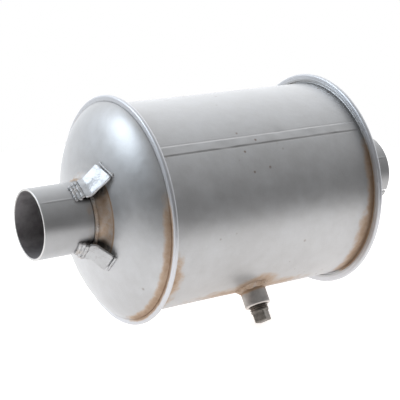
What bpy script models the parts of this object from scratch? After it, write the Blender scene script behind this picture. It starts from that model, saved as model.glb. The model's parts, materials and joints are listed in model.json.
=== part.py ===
"""Round engine-exhaust muffler, lying on its two rolled rims and its port plug.

The muffler's axis runs along X, inlet at -X and outlet at +X, and the floor is z = 0.
Clock angles are degrees from straight down, growing towards -Y, the side that the port faces.
"""

import math

import bmesh
import bpy
from mathutils import Matrix

INCH = 0.0254
GAP = 0.0003  # between pieces that touch or are welded together

# Casing
BODY_RADIUS = 3.0 * INCH
SEAM_SPACING = 7.0 * INCH  # between the middle planes of the two rolled seams
OVERALL_LENGTH = 12.0 * INCH
INLET_REACH = 2.7 * INCH  # from the front seam's middle plane to the end of the inlet pipe
RIM_RADIUS = 0.0836
SHELL_SHEET = 0.0009
HEAD_SHEET = 0.0010
SEGMENTS = 40
AXIS_HEIGHT = RIM_RADIUS * math.cos(math.pi / SEGMENTS)  # the rims rest on a flat facet
SEAM_CLEARANCE = 0.00025  # between the layers of a rolled seam
HEM_RADIUS = SHELL_SHEET / 2 + SEAM_CLEARANCE + HEAD_SHEET  # outside of the head's folded edge
HEM_DEPTH = 0.0036  # how far the folded edge runs back behind the shell's flange
SHELL_BEND = 0.0013
LOCK_SEAM_WIDTH = 0.0073
LOCK_SEAM_RISE = 0.0009
FLANGE_SHORTFALL = 0.0006  # of the shell's flange inside the folded edge

# Domed heads: height = DOME_HEIGHT * (1 - (r / DOME_RADIUS)^DOME_SPREAD)^(1 / DOME_CROWN)
DOME_HEIGHT = 0.0251
DOME_RADIUS = 0.0794
DOME_SPREAD = 2.33
DOME_CROWN = 1.515
DOME_STEPS = 6
NECK_FLARE = 0.0100  # radial width of the sweep from neck to dome
NECK_RISE = 0.0060  # height of the sweep
NECK_WELD_WIDTH = 0.0012
NECK_WELD_HEIGHT = 0.0016
CREASE_INSET = 0.0009  # where the dome's foot turns into the rolled edge

# Pipes
INLET_RADIUS = 1.0 * INCH
INLET_WALL = 0.00165
OUTLET_RADIUS = 0.0273  # slips over a 2 inch tail pipe
OUTLET_WALL = 0.0017
SLOT_WIDTH = 0.0024
SLOT_LENGTH = 0.028
SLOT_OFFSET = 26.7  # clock angle from the port to the first of two opposite slots
HOLE_RADIUS = 0.0045
HOLE_ROWS = 4
HOLE_COLUMNS = 6
HOLE_PITCH = 0.012
FIRST_HOLE_DEPTH = 0.010  # from the seam's middle plane, inwards
HOLE_SIDES = 8
PIPE_OVERHANG = 0.002  # of each pipe beyond its baffle's collar

# Inside
CHAMBER_DEPTH = 0.062  # from each seam's middle plane to its baffle
BAFFLE_SHEET = 0.0012
BAFFLE_FLANGE = 0.009
BAFFLE_COLLAR = 0.007
BAFFLE_BEND = 0.0015
TUBE_RADIUS = 0.0143
TUBE_WALL = 0.0012
TUBE_CIRCLE = 0.0505
TUBE_OVERHANG = 0.012
TUBE_SEGMENTS = 24
BLEED_RADIUS = 0.004
CUP_SHEET = 0.0012
CUP_DEPTH = 0.006
CUP_CORNER = 0.0018

# Gussets between the inlet pipe and the front head, fitted by hand
GUSSET_CLOCKS = (13.0, 112.0, 244.0)  # clock angles from the port
GUSSET_FOOT_RADII = (0.0410, 0.0442, 0.0426)
GUSSET_SHEET = 0.0019
GUSSET_WIDTH = 0.0163
GUSSET_FOOT_WIDTH = 0.0184
GUSSET_END_RADIUS = 0.0293  # middle of the sheet at the end over the pipe
GUSSET_END_HEIGHT = 0.0358  # heights are above the front seam's middle plane
GUSSET_BEND_RADIUS = 0.0305
GUSSET_BEND_HEIGHT = 0.0312
GUSSET_ROUNDING = 0.0008
PIPE_BEAD = 0.0021
PIPE_BEAD_ANGLE = 32.0
HEAD_BEAD = 0.0010
HEAD_BEAD_ANGLE = 21.0

# Port: 1/4 inch pipe thread
BOSS_RADIUS = 0.375 * INCH
BOSS_HEIGHT = 0.0147
BOSS_BORE = 0.0074
BOSS_CHAMFER = 0.0006
BOSS_WELD_WIDTH = 0.0034
BOSS_WELD_HEIGHT = 0.0030
BOSS_SEGMENTS = 32
PLUG_CREST = 0.00685  # thread crest radius at the boss's mouth
THREAD_DEPTH = 0.0009
THREAD_PITCH = INCH / 18
THREAD_TAPER = 1 / 32  # radius lost per length
THREAD_SHOWING = 0.0049
THREAD_TURNS = 10
THREAD_FLAT = 0.0002  # width of a crest
PLUG_SEGMENTS = 20
HEAD_WIDTH = 0.375 * INCH
HEAD_HEIGHT = 0.0073
HEAD_TURN = 33.0  # the square head's turn about the port's axis
SEAL_INNER = 0.00695
SEAL_OUTER = 0.00715
SEAL_LENGTH = 0.008
HEAD_CHAMFER = 0.0004
FLOOR_CLEARANCE = 0.0001  # under the plug's lowest corner

BODY_END = SEAM_SPACING / 2
BODY_CENTRE = INLET_REACH - OVERALL_LENGTH / 2 + BODY_END
PLUG_TIP = BODY_RADIUS + BOSS_HEIGHT + THREAD_SHOWING + HEAD_HEIGHT
BOSS_FACE = BODY_RADIUS + BOSS_HEIGHT


def lying_clock():
    """The port's clock angle, in degrees, at which the plug's lowest corner just clears the floor."""
    turn = math.radians(HEAD_TURN)
    corner = HEAD_WIDTH / 2 * (abs(math.cos(turn)) + abs(math.sin(turn)))
    reach = math.hypot(PLUG_TIP, corner)
    height = AXIS_HEIGHT - FLOOR_CLEARANCE
    return math.degrees(math.acos(height / reach) + math.atan2(corner, PLUG_TIP))


PORT_CLOCK = lying_clock()
LOCK_SEAM_CLOCK = PORT_CLOCK + 98.2


# ---------------------------------------------------------------- helpers


def clear_scene():
    for obj in list(bpy.data.objects):
        bpy.data.objects.remove(obj)


def new_collection(name):
    collection = bpy.data.collections.new(name)
    bpy.context.scene.collection.children.link(collection)
    return collection


def new_material(name, color, roughness, metallic):
    material = bpy.data.materials.new(name)
    material.use_nodes = True
    shader = material.node_tree.nodes["Principled BSDF"]
    shader.inputs["Base Color"].default_value = (*color, 1.0)
    shader.inputs["Roughness"].default_value = roughness
    shader.inputs["Metallic"].default_value = metallic
    return material


def add_empty(name, parent, location, rotation):
    empty = bpy.data.objects.new(name, None)
    PARTS.objects.link(empty)
    empty.parent = parent
    empty.location = location
    empty.rotation_euler = rotation
    return empty


def add_mesh(name, mesh, parent, material=None, cutter=False):
    obj = bpy.data.objects.new(name, mesh)
    (CUTTERS if cutter else PARTS).objects.link(obj)
    obj.parent = parent
    if cutter:
        obj.hide_render = True
        obj.display_type = "WIRE"
    if material:
        mesh.materials.append(material)
        mesh.shade_smooth()
        mesh.set_sharp_from_angle(angle=math.radians(35))
    return obj


def profile_mesh(name, points, closed=False):
    """A line of (radius, height) points in the XZ plane, to be turned about Z."""
    mesh = bpy.data.meshes.new(name)
    count = len(points)
    edges = [(i, (i + 1) % count) for i in range(count if closed else count - 1)]
    mesh.from_pydata([(r, 0.0, z) for r, z in points], edges, [])
    return mesh


def turn(obj, steps=SEGMENTS):
    """Turns the profile once round Z, with a flat facet straight down."""
    screw = obj.modifiers.new("turn", "SCREW")
    screw.angle = 2 * math.pi
    screw.steps = steps
    screw.render_steps = steps
    screw.use_merge_vertices = True
    screw.merge_threshold = 0.00001
    obj.rotation_euler.z = math.pi / steps
    return obj


def thicken(obj, thickness, offset=-1.0):
    solidify = obj.modifiers.new("sheet", "SOLIDIFY")
    solidify.thickness = thickness
    solidify.offset = offset
    solidify.use_even_offset = True
    return obj


def boolean(obj, other, operation="DIFFERENCE"):
    modifier = obj.modifiers.new(other.name, "BOOLEAN")
    modifier.operation = operation
    modifier.object = other
    modifier.solver = "EXACT"
    return obj


def turned_sheet(name, profile, thickness, parent, material):
    """A pressed or rolled sheet: its outer line, from top to bottom, turned and thickened inwards."""
    return thicken(turn(add_mesh(name, profile_mesh(name, profile), parent, material)), thickness)


def turned_ring(name, profile, parent, material, steps=SEGMENTS):
    """A ring whose section is the closed profile, which starts at its top and runs down outside."""
    return turn(add_mesh(name, profile_mesh(name, profile, closed=True), parent, material), steps)


def arc(centre, radius, start, end, steps):
    """Points (radius, height) on an arc, with angles in degrees from outwards towards up."""
    angles = [math.radians(start + (end - start) * i / steps) for i in range(steps + 1)]
    return [(centre[0] + radius * math.cos(a), centre[1] + radius * math.sin(a)) for a in angles]


def pins_mesh(name, pins, sides):
    """One mesh of separate closed cylinders, each given as (matrix, radius, depth)."""
    mesh = bpy.data.meshes.new(name)
    work = bmesh.new()
    for matrix, radius, depth in pins:
        bmesh.ops.create_cone(
            work, cap_ends=True, segments=sides, radius1=radius, radius2=radius,
            depth=depth, matrix=matrix,
        )
    work.to_mesh(mesh)
    work.free()
    return mesh


def box_mesh(name, size, centre):
    mesh = bpy.data.meshes.new(name)
    work = bmesh.new()
    bmesh.ops.create_cube(work, size=1.0)
    bmesh.ops.scale(work, vec=size, verts=work.verts)
    bmesh.ops.translate(work, vec=centre, verts=work.verts)
    work.to_mesh(mesh)
    work.free()
    return mesh


# ---------------------------------------------------------------- frames


def make_frames():
    """Empties: the muffler's axis, its two ends with Z pointing outwards, and the port with Z outwards."""
    axis = add_empty("muffler_axis", None, (0, 0, AXIS_HEIGHT), (0, math.pi / 2, 0))
    front = add_empty("front_end", axis, (0, 0, BODY_CENTRE - BODY_END), (math.pi, 0, 0))
    rear = add_empty("rear_end", axis, (0, 0, BODY_CENTRE + BODY_END), (0, 0, 0))
    port_turn = (0, math.pi / 2, -math.radians(PORT_CLOCK))
    port = add_empty("port_axis", axis, (0, 0, BODY_CENTRE), port_turn)
    return axis, front, rear, port


def front_clock(clock):
    """A clock angle as a turn about the front end's Z, which points towards the inlet."""
    return math.radians(clock)


def rear_clock(clock):
    """A clock angle as a turn about the axis's or the rear end's Z."""
    return -math.radians(clock)


# ---------------------------------------------------------------- casing


def make_shell(axis, port, material):
    """Rolled sheet with an outward flange at each end, a lock seam along it and the port's hole."""
    flange_tip = RIM_RADIUS - HEAD_SHEET - SEAM_CLEARANCE - FLANGE_SHORTFALL
    wall = BODY_RADIUS - SHELL_SHEET / 2
    lower = arc((wall + SHELL_BEND, -BODY_END + SHELL_BEND), SHELL_BEND, 180, 270, 2)
    upper = [(r, -z) for r, z in reversed(lower)]
    profile = [(flange_tip, BODY_END), *upper, *lower, (flange_tip, -BODY_END)]
    shell = turn(add_mesh("shell", profile_mesh("shell", profile), axis, material))
    shell.location.z = BODY_CENTRE
    thicken(shell, SHELL_SHEET, offset=0.0)

    seam_length = SEAM_SPACING - 2 * (HEM_RADIUS + GAP)
    depth = LOCK_SEAM_RISE + SHELL_SHEET / 2
    seam_mesh = box_mesh("lock_seam", (depth, LOCK_SEAM_WIDTH, seam_length), (wall + depth / 2, 0, 0))
    seam = add_mesh("lock_seam", seam_mesh, axis, cutter=True)
    seam.location.z = BODY_CENTRE
    seam.rotation_euler.z = rear_clock(LOCK_SEAM_CLOCK)
    boolean(shell, seam, "UNION")

    hole = pins_mesh("port_hole", [(Matrix.Translation((0, 0, BODY_RADIUS)), BOSS_BORE, 0.02)], 24)
    boolean(shell, add_mesh("port_hole", hole, port, cutter=True))


def dome_height(radius):
    return DOME_HEIGHT * (1 - (radius / DOME_RADIUS) ** DOME_SPREAD) ** (1 / DOME_CROWN)


def head_profile(pipe_radius):
    """Outer line of a head, from the top of its neck, over the dome, to the end of its folded edge."""
    crown = pipe_radius + GAP + HEAD_SHEET + NECK_FLARE
    top = neck_top(pipe_radius)
    sweep = arc((0, 0), 1, 180, 270, 3)
    flare = [(crown + NECK_FLARE * r, top + NECK_RISE * z) for r, z in sweep]
    crease = DOME_RADIUS - CREASE_INSET
    spread = [math.sin(math.pi / 2 * i / DOME_STEPS) for i in range(1, DOME_STEPS + 1)]
    dome = [(crown + (crease - crown) * s, dome_height(crown + (crease - crown) * s)) for s in spread]
    fold = arc((RIM_RADIUS - HEM_RADIUS, 0), HEM_RADIUS, 90, -90, 4)
    return [*flare, *dome[:-1], (crease, HEM_RADIUS), *fold, (fold[-1][0] - HEM_DEPTH, -HEM_RADIUS)]


def neck_top(pipe_radius):
    crown = pipe_radius + GAP + HEAD_SHEET + NECK_FLARE
    return dome_height(crown) + NECK_RISE


def make_head(name, end, pipe_radius, material):
    turned_sheet(name, head_profile(pipe_radius), HEAD_SHEET, end, material)


def make_neck_weld(name, end, pipe_radius, material):
    """A slim bead where the neck's edge meets the pipe."""
    top = neck_top(pipe_radius) + GAP
    inner = pipe_radius + GAP
    side = (inner + NECK_WELD_WIDTH * 0.7, top + NECK_WELD_HEIGHT * 0.7)
    section = [(inner, top + NECK_WELD_HEIGHT), side, (inner + NECK_WELD_WIDTH, top), (inner, top)]
    turned_ring(name, section, end, material)


# ---------------------------------------------------------------- pipes and inside


def hole_pins(radius):
    """Radial pins that drill staggered rows of holes round a pipe."""
    pins = []
    for row in range(HOLE_ROWS):
        height = -FIRST_HOLE_DEPTH - row * HOLE_PITCH
        for column in range(HOLE_COLUMNS):
            angle = 2 * math.pi * (column + (row % 2) / 2) / HOLE_COLUMNS
            place = Matrix.Rotation(angle, 4, "Z") @ Matrix.Translation((radius, 0, height))
            pins.append((place @ Matrix.Rotation(math.pi / 2, 4, "Y"), HOLE_RADIUS, 0.008))
    return pins


def make_pipe(name, end, radius, wall, reach, material):
    """A pipe through a head and a baffle, perforated in the chamber between them."""
    depth = CHAMBER_DEPTH + BAFFLE_COLLAR + PIPE_OVERHANG
    pipe = turned_sheet(name, [(radius, reach), (radius, -depth)], wall, end, material)
    pins = pins_mesh(name + "_drill", hole_pins(radius), HOLE_SIDES)
    drill = add_mesh(name + "_drill", pins, end, cutter=True)
    return boolean(pipe, drill), depth


def make_cup(name, end, pipe_radius, wall, depth, material):
    """A pressed cup that closes the inner end of a pipe, with its mouth facing inwards."""
    radius = pipe_radius - wall - GAP
    top = -depth + CUP_DEPTH
    round_corner = arc((radius - CUP_CORNER, top - CUP_CORNER), CUP_CORNER, 90, 0, 2)
    profile = [(0, top), *round_corner, (radius, -depth)]
    thicken(turn(add_mesh(name, profile_mesh(name, profile), end, material)), CUP_SHEET)


def make_baffle(name, end, pipe_radius, material):
    """A plate across the casing: collar round the pipe, flange against the shell, holes for the tubes."""
    collar = pipe_radius + GAP + BAFFLE_SHEET
    rim = BODY_RADIUS - SHELL_SHEET - GAP
    profile = [(collar, BAFFLE_COLLAR), (collar, BAFFLE_BEND), (collar + BAFFLE_BEND, 0)]
    profile += [(rim - BAFFLE_BEND, 0), (rim, -BAFFLE_BEND), (rim, -BAFFLE_FLANGE)]
    profile = [(r, -z) for r, z in reversed(profile)]
    baffle = turned_sheet(name, profile, BAFFLE_SHEET, end, material)
    baffle.location.z = -CHAMBER_DEPTH
    pins = []
    for index in range(3):
        place = Matrix.Translation((TUBE_CIRCLE, 0, -CHAMBER_DEPTH))
        tube = Matrix.Rotation(tube_turn(index, end), 4, "Z") @ place
        pins.append((tube, TUBE_RADIUS + GAP, 0.01))
        if name == "front_baffle":
            bleed = Matrix.Rotation(math.pi / 3, 4, "Z") @ tube
            pins.append((bleed, BLEED_RADIUS, 0.01))
    boolean(baffle, add_mesh(name + "_drill", pins_mesh(name + "_drill", pins, 24), end, cutter=True))


def tube_turn(index, end):
    clock = PORT_CLOCK + 60 + 120 * index
    return front_clock(clock) if end.name == "front_end" else rear_clock(clock)


def make_transfer_tube(index, axis, material):
    length = SEAM_SPACING - 2 * (CHAMBER_DEPTH - TUBE_OVERHANG)
    name = f"transfer_tube_{index + 1}"
    mesh = profile_mesh(name, [(TUBE_RADIUS, length / 2), (TUBE_RADIUS, -length / 2)])
    tube = thicken(turn(add_mesh(name, mesh, axis, material), steps=TUBE_SEGMENTS), TUBE_WALL)
    angle = rear_clock(PORT_CLOCK + 60 + 120 * index)
    tube.location = (TUBE_CIRCLE * math.cos(angle), TUBE_CIRCLE * math.sin(angle), BODY_CENTRE)


# ---------------------------------------------------------------- gussets


def strip_mesh(name, points):
    """A flat strip: a line of (radius, height, width) points, mirrored to its other edge."""
    work = bmesh.new()
    verts = [work.verts.new((r, -width / 2, z)) for r, z, width in points]
    edges = [work.edges.new(pair) for pair in zip(verts, verts[1:])]
    drawn = bmesh.ops.extrude_edge_only(work, edges=edges)["geom"]
    for item in drawn:
        if isinstance(item, bmesh.types.BMVert):
            item.co.y *= -1
    mesh = bpy.data.meshes.new(name)
    work.to_mesh(mesh)
    work.free()
    return mesh


def gusset_clock(index):
    return front_clock(PORT_CLOCK + GUSSET_CLOCKS[index])


def make_gusset(index, end, material):
    """A bent strip of sheet, from a weld on the pipe down to a weld on the dome."""
    name = f"gusset_{index + 1}"
    foot = GUSSET_FOOT_RADII[index]
    points = [
        (GUSSET_END_RADIUS, GUSSET_END_HEIGHT, GUSSET_WIDTH),
        (GUSSET_BEND_RADIUS - GUSSET_ROUNDING / 4, GUSSET_BEND_HEIGHT + GUSSET_ROUNDING, GUSSET_WIDTH),
        (GUSSET_BEND_RADIUS + GUSSET_ROUNDING, GUSSET_BEND_HEIGHT - GUSSET_ROUNDING / 2, GUSSET_WIDTH),
        (foot, dome_height(foot) + GAP + GUSSET_SHEET * 0.6, GUSSET_FOOT_WIDTH),
    ]
    gusset = add_mesh(name, strip_mesh(name, points), end, material)
    gusset.rotation_euler.z = gusset_clock(index)
    thicken(gusset, GUSSET_SHEET, offset=0.0)


def make_bead(name, index, end, thickness, place, angle, material):
    """A weld bead: a rod bent round the pipe's axis at a (radius, height), along one edge of a gusset."""
    curve = bpy.data.curves.new(name, "CURVE")
    curve.dimensions = "3D"
    curve.bevel_depth = thickness
    curve.bevel_resolution = 1
    curve.use_fill_caps = True
    spline = curve.splines.new("POLY")
    count = 7
    spline.points.add(count - 1)
    radius, height = place
    for i, point in enumerate(spline.points):
        turned = math.radians(angle * (i / (count - 1) - 0.5))
        point.co = (radius * math.cos(turned), radius * math.sin(turned), height, 1)
    curve.materials.append(material)
    bead = bpy.data.objects.new(name, curve)
    PARTS.objects.link(bead)
    bead.parent = end
    bead.rotation_euler.z = gusset_clock(index)


def make_gusset_welds(index, end, material):
    clear = PIPE_BEAD + GAP
    place = (INLET_RADIUS + clear, GUSSET_END_HEIGHT + clear)
    make_bead(f"gusset_pipe_weld_{index + 1}", index, end, PIPE_BEAD, place, PIPE_BEAD_ANGLE, material)
    clear = HEAD_BEAD + GAP
    radius = GUSSET_FOOT_RADII[index] + clear + GUSSET_SHEET / 2
    place = (radius, dome_height(radius) + clear * 1.15)
    make_bead(f"gusset_head_weld_{index + 1}", index, end, HEAD_BEAD, place, HEAD_BEAD_ANGLE, material)


# ---------------------------------------------------------------- port


def shell_cutter(port):
    """A cylinder on the muffler's axis, as big as the shell plus the gap."""
    across = Matrix.Rotation(math.pi / 2, 4, "Y")
    mesh = pins_mesh("shell_cutter", [(across, BODY_RADIUS + GAP, 0.06)], 96)
    return add_mesh("shell_cutter", mesh, port, cutter=True)


def make_boss(port, cutter, material):
    """A threaded half coupling whose foot follows the shell's curve."""
    low = BODY_RADIUS - 0.002
    profile = [
        (BOSS_BORE + BOSS_CHAMFER, BOSS_FACE),
        (BOSS_RADIUS - BOSS_CHAMFER, BOSS_FACE),
        (BOSS_RADIUS, BOSS_FACE - BOSS_CHAMFER),
        (BOSS_RADIUS, low),
        (BOSS_BORE, low),
        (BOSS_BORE, BOSS_FACE - BOSS_CHAMFER),
    ]
    boolean(turned_ring("port_boss", profile, port, material, steps=BOSS_SEGMENTS), cutter)


def make_boss_weld(port, cutter, material):
    """A fillet bead round the foot of the boss."""
    inner = BOSS_RADIUS + GAP
    outer = inner + BOSS_WELD_WIDTH
    top = BODY_RADIUS + BOSS_WELD_HEIGHT
    low = BODY_RADIUS - BOSS_WELD_HEIGHT
    shoulder = (inner + BOSS_WELD_WIDTH / 3, top - BOSS_WELD_HEIGHT / 4)
    profile = [(inner, top), shoulder, (outer, BODY_RADIUS + GAP), (outer, low), (inner, low)]
    boolean(turned_ring("port_boss_weld", profile, port, material, steps=BOSS_SEGMENTS), cutter)


def thread_profile():
    """Crests and roots of the plug's thread, from the head end to the inner end, as a turned line."""
    top = BOSS_FACE + THREAD_SHOWING
    collar = top + 2 * THREAD_FLAT
    points = [(0, collar), (PLUG_CREST - THREAD_DEPTH, collar)]
    for turns in range(THREAD_TURNS):
        height = top - turns * THREAD_PITCH
        crest = PLUG_CREST + (height - BOSS_FACE) * THREAD_TAPER
        points.append((crest - THREAD_DEPTH, height))
        points.append((crest, height - (THREAD_PITCH - THREAD_FLAT) / 2))
        points.append((crest, height - (THREAD_PITCH + THREAD_FLAT) / 2))
    end = top - THREAD_TURNS * THREAD_PITCH
    return [*points, (points[-1][0] - THREAD_DEPTH, end), (0, end)]


def make_plug(port, material):
    """A pipe plug: tapered thread below, square head above."""
    thread = profile_mesh("port_plug", thread_profile())
    plug = turn(add_mesh("port_plug", thread, port, material), steps=PLUG_SEGMENTS)
    bottom = BOSS_FACE + THREAD_SHOWING - THREAD_PITCH / 2
    height = PLUG_TIP - bottom
    square = box_mesh("plug_head", (HEAD_WIDTH, HEAD_WIDTH, height), (0, 0, bottom + height / 2))
    head = add_mesh("plug_head", square, port, cutter=True)
    head.rotation_euler.z = math.radians(HEAD_TURN)
    bevel = head.modifiers.new("edges", "BEVEL")
    bevel.width = HEAD_CHAMFER
    bevel.segments = 1
    boolean(plug, head, "UNION")


def make_thread_seal(port, material):
    """Sealing compound carried on the plug's thread, inside the boss."""
    top = BOSS_FACE - GAP
    low = top - SEAL_LENGTH
    section = [(SEAL_INNER, top), (SEAL_OUTER, top), (SEAL_OUTER, low), (SEAL_INNER, low)]
    turned_ring("thread_seal", section, port, material, steps=PLUG_SEGMENTS)


# ---------------------------------------------------------------- assembly


def cut_outlet_slots(pipe, end, reach):
    """Two opposite slots, so that a clamp can close the outlet on a tail pipe."""
    size = (4 * OUTLET_RADIUS, SLOT_WIDTH, SLOT_LENGTH + 0.004)
    cutter = add_mesh("slot_cutter", box_mesh("slot_cutter", size, (0, 0, 0)), end, cutter=True)
    cutter.location.z = reach - SLOT_LENGTH / 2 + 0.002
    cutter.rotation_euler.z = rear_clock(PORT_CLOCK + SLOT_OFFSET)
    boolean(pipe, cutter)


def main():
    paint = new_material("silver_paint", (0.56, 0.55, 0.54), 0.42, 0.35)
    pipe_paint = new_material("pipe_paint", (0.50, 0.48, 0.46), 0.45, 0.35)
    weld = new_material("weld_metal", (0.36, 0.29, 0.23), 0.55, 0.5)
    steel = new_material("aluminised_steel", (0.60, 0.60, 0.59), 0.45, 0.8)
    plug_steel = new_material("plug_steel", (0.33, 0.31, 0.28), 0.5, 0.5)
    compound = new_material("thread_compound", (0.10, 0.09, 0.09), 0.6, 0.0)

    axis, front, rear, port = make_frames()
    make_shell(axis, port, paint)
    make_head("front_head", front, INLET_RADIUS, paint)
    make_head("rear_head", rear, OUTLET_RADIUS, paint)

    outlet_reach = OVERALL_LENGTH - SEAM_SPACING - INLET_REACH
    _, depth = make_pipe("inlet_pipe", front, INLET_RADIUS, INLET_WALL, INLET_REACH, pipe_paint)
    outlet, _ = make_pipe("outlet_pipe", rear, OUTLET_RADIUS, OUTLET_WALL, outlet_reach, pipe_paint)
    cut_outlet_slots(outlet, rear, outlet_reach)
    make_cup("inlet_pipe_cup", front, INLET_RADIUS, INLET_WALL, depth, steel)
    make_cup("outlet_pipe_cup", rear, OUTLET_RADIUS, OUTLET_WALL, depth, steel)
    make_neck_weld("inlet_neck_weld", front, INLET_RADIUS, weld)
    make_neck_weld("outlet_neck_weld", rear, OUTLET_RADIUS, weld)

    make_baffle("front_baffle", front, INLET_RADIUS, steel)
    make_baffle("rear_baffle", rear, OUTLET_RADIUS, steel)
    for index in range(3):
        make_transfer_tube(index, axis, steel)

    for index in range(len(GUSSET_CLOCKS)):
        make_gusset(index, front, pipe_paint)
        make_gusset_welds(index, front, weld)

    cutter = shell_cutter(port)
    make_boss(port, cutter, pipe_paint)
    make_boss_weld(port, cutter, weld)
    make_plug(port, plug_steel)
    make_thread_seal(port, compound)


clear_scene()
PARTS = new_collection("exhaust_muffler")
CUTTERS = new_collection("cutters")
main()
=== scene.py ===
"""Looks for the round exhaust muffler: fine meshes and painted, stained and rusted surfaces."""

import json
import math

import bmesh
import bpy
from mathutils import Matrix, Vector, noise


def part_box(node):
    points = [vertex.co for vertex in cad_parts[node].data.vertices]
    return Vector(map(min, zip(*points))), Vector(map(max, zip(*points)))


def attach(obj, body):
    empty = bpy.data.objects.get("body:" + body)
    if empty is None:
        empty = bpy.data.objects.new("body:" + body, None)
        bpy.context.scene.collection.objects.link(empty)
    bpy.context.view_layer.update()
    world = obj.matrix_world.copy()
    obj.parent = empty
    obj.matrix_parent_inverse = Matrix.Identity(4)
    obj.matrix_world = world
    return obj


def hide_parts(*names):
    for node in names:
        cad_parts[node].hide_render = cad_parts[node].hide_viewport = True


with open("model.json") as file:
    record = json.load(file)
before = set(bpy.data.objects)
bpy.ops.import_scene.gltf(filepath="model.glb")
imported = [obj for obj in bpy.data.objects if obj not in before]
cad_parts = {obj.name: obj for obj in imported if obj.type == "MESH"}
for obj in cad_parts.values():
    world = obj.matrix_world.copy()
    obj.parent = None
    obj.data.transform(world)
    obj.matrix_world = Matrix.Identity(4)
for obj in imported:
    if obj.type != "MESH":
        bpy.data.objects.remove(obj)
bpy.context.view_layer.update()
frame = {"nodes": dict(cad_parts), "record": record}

# ---------------- the frame

JOINTS = {joint["name"]: joint for joint in frame["record"]["behaviour"]["joints"]}
SHELL_LOW, SHELL_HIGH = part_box("shell")
INLET_LOW, INLET_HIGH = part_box("inlet_pipe")
OUTLET_LOW, OUTLET_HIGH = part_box("outlet_pipe")

PORT_POINT = Vector(JOINTS["plug_turn"]["pos_m"])  # on the boss's face
PORT_AXIS = Vector(JOINTS["plug_turn"]["axis"]).normalized()
AXIS_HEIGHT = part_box("front_head")[1].z / 2
RIM_RADIUS = AXIS_HEIGHT
FLANGE_SPREAD = 0.00045  # half the shell's sheet
FRONT_X = SHELL_LOW.x + FLANGE_SPREAD
REAR_X = SHELL_HIGH.x - FLANGE_SPREAD
BODY_X = (FRONT_X + REAR_X) / 2
PORT_CLOCK = math.degrees(math.atan2(-PORT_AXIS.y, -PORT_AXIS.z))

SHELL_RADIUS = 0.0762
SHELL_SHEET = 0.0009
HEAD_SHEET = 0.0010
HEM_RADIUS = 0.0017
HEM_DEPTH = 0.0036
SEAM_CLOCK = PORT_CLOCK + 98.2
SEAM_HALF = math.degrees(0.0036 / SHELL_RADIUS)
SEAM_HEIGHT = 0.00038
INLET_RADIUS = 0.0254
INLET_WALL = 0.00165
INLET_SEAM = PORT_CLOCK + 102.7
OUTLET_RADIUS = 0.0273
OUTLET_WALL = 0.0017
OUTLET_SEAM = PORT_CLOCK + 87.7
PIPE_GAP = 0.0003
PIPE_STAIN = 0.030  # from a head's rim to where its pipe's stains are darkest
TOE_SHADE_HALF = 0.0008  # half the width of the painted shade line at the neck weld's toe there
HOLE_RADIUS = 0.0045
HOLE_ROWS = 4
HOLE_COLUMNS = 6
HOLE_PITCH = 0.012  # between rows
FIRST_HOLE = 0.010  # from the rim's plane to the first row
SLOT_LENGTH = 0.028
SLOT_WIDTH = 0.0024
SLOT_CLOCK = PORT_CLOCK + 26.7
SLOT_OVERRUN = 0.004  # of the cutter past the pipe's end
GUSSET_CLOCKS = (13.0, 112.0, 244.0)  # from the port
BOSS_HEIGHT = 0.0147  # of the boss's face over the shell
BOSS_BORE = 0.0074

# ---------------- mesh helpers


def place(x, radius, clock):
    """A point at a place along the muffler, a radius and a clock angle in degrees from straight down."""
    turn = math.radians(clock)
    return Vector((x, -radius * math.sin(turn), AXIS_HEIGHT - radius * math.cos(turn)))


def clock_gap(clock, other):
    """Degrees from one clock angle to another by the short way, from -180 to 180."""
    return (clock - other + 180) % 360 - 180


def round_noise(turn, scale, third):
    """Noise that meets itself after a whole turn."""
    return noise.noise(Vector((math.cos(turn) * scale, math.sin(turn) * scale, third)))


def facing(centre, direction):
    """The matrix that puts +Z along a direction at a place."""
    turn = Vector((0, 0, 1)).rotation_difference(direction).to_matrix().to_4x4()
    return Matrix.Translation(centre) @ turn


def add_object(name, data):
    obj = bpy.data.objects.new(name, data)
    bpy.context.scene.collection.objects.link(obj)
    return obj


def mesh_object(name, work):
    """An object with the mesh of a bmesh, which is freed."""
    mesh = bpy.data.meshes.new(name)
    work.to_mesh(mesh)
    work.free()
    return add_object(name, mesh)


def shade(obj, sharp):
    """Smooth shading but for edges sharper than an angle in degrees."""
    obj.data.shade_smooth()
    obj.data.set_sharp_from_angle(angle=math.radians(sharp))


def new_piece(name, verts, faces, sharp=35):
    """A mesh object whose faces point outwards, smooth but for its sharp edges."""
    work = bmesh.new()
    made = [work.verts.new(v) for v in verts]
    for face in faces:
        work.faces.new([made[i] for i in face])
    bmesh.ops.recalc_face_normals(work, faces=work.faces)
    obj = mesh_object(name, work)
    shade(obj, sharp)
    return obj


def loop_faces(rows, columns, close_rows=True, close_columns=True):
    """Quads over a grid of points that may close on itself both ways."""
    faces = []
    for i in range(rows if close_rows else rows - 1):
        for j in range(columns if close_columns else columns - 1):
            below = ((i + 1) % rows) * columns
            faces.append((i * columns + j, i * columns + (j + 1) % columns,
                          below + (j + 1) % columns, below + j))
    return faces


def turned(name, profile, clocks, shift, sharp=35):
    """A closed profile of (x, radius) points carried round the muffler's axis, each point then shifted."""
    verts = []
    for clock in clocks:
        for x, radius in profile:
            dx, dr = shift(x, radius, clock)
            verts.append(place(x + dx, radius + dr, clock))
    return new_piece(name, verts, loop_faces(len(clocks), len(profile)), sharp)


def even_clocks(count):
    """Clock angles that share out the circle."""
    return [360 * i / count for i in range(count)]


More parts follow.
